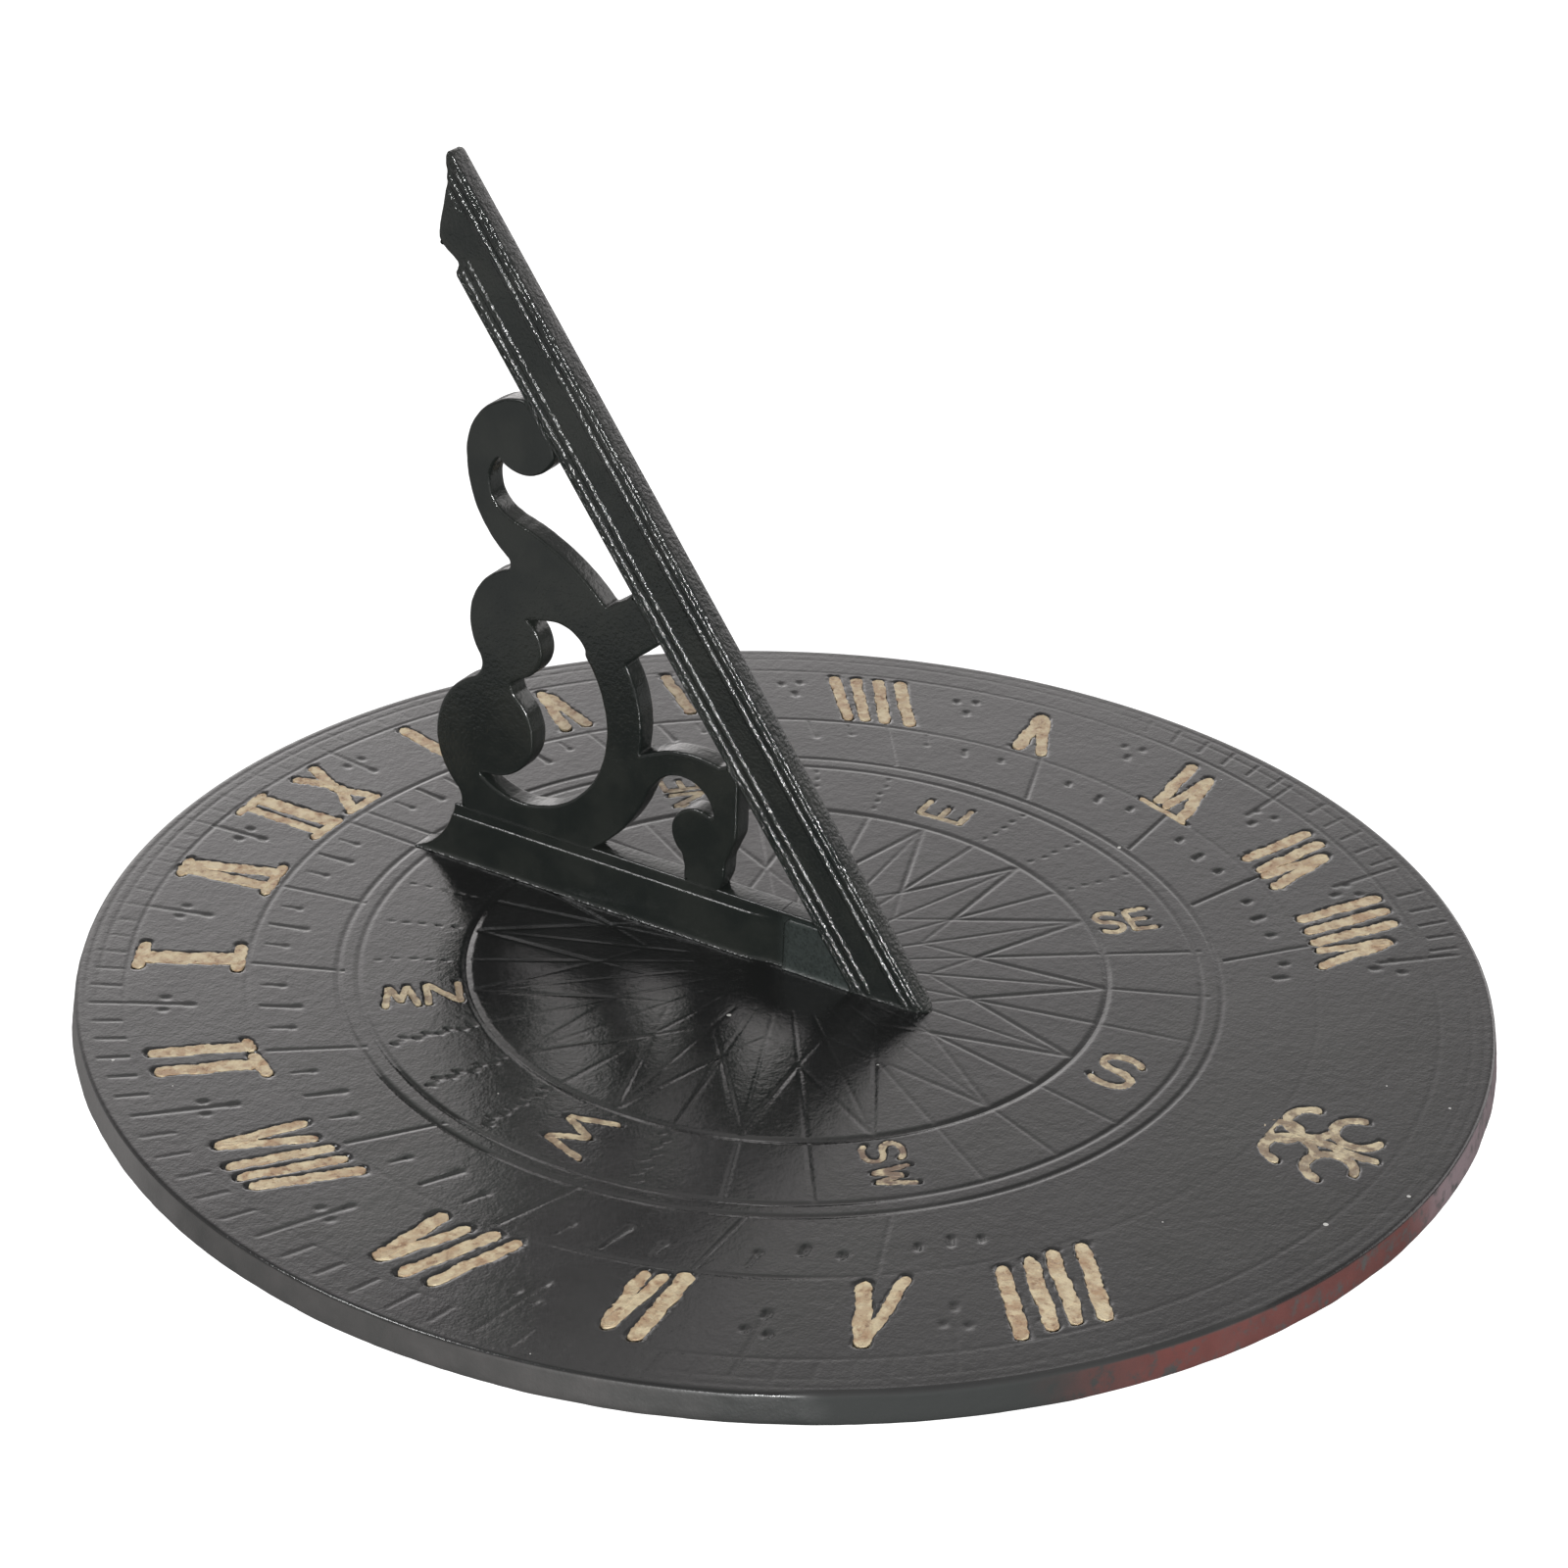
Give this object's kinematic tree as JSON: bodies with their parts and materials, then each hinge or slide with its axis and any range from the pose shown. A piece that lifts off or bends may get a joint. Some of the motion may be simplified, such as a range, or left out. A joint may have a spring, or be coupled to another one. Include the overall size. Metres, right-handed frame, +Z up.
{
  "type": "horizontal sundial",
  "caption": "Round horizontal garden sundial with roman numerals, compass rose and a sloping style held by a pierced scroll bracket.",
  "frame": {"origin": "centre of the underside of the dial plate, which is the bottom centre of the bounding box", "axes": "+Z up, +Y along the noon line towards XII, +X east, towards the afternoon hours"},
  "size_m": [0.301, 0.301, 0.1703],
  "materials": {
    "plate_paint": "satin black paint",
    "gnomon_paint": "satin black paint",
    "gold_paint": "matt gold paint",
    "fastener_brass": "dull brass"
  },
  "bodies": {
    "root": {"dial_plate": "plate_paint", "style_bar": "gnomon_paint", "scroll_bracket": "gnomon_paint", "foot_rail": "gnomon_paint", "toe_block": "gnomon_paint", "foot_screws": "fastener_brass", "base_dowels": "fastener_brass", "bracket_pins": "fastener_brass", "hour_numerals": "gold_paint", "compass_letters": "gold_paint", "south_ornament": "gold_paint"}
  },
  "joints": []
}
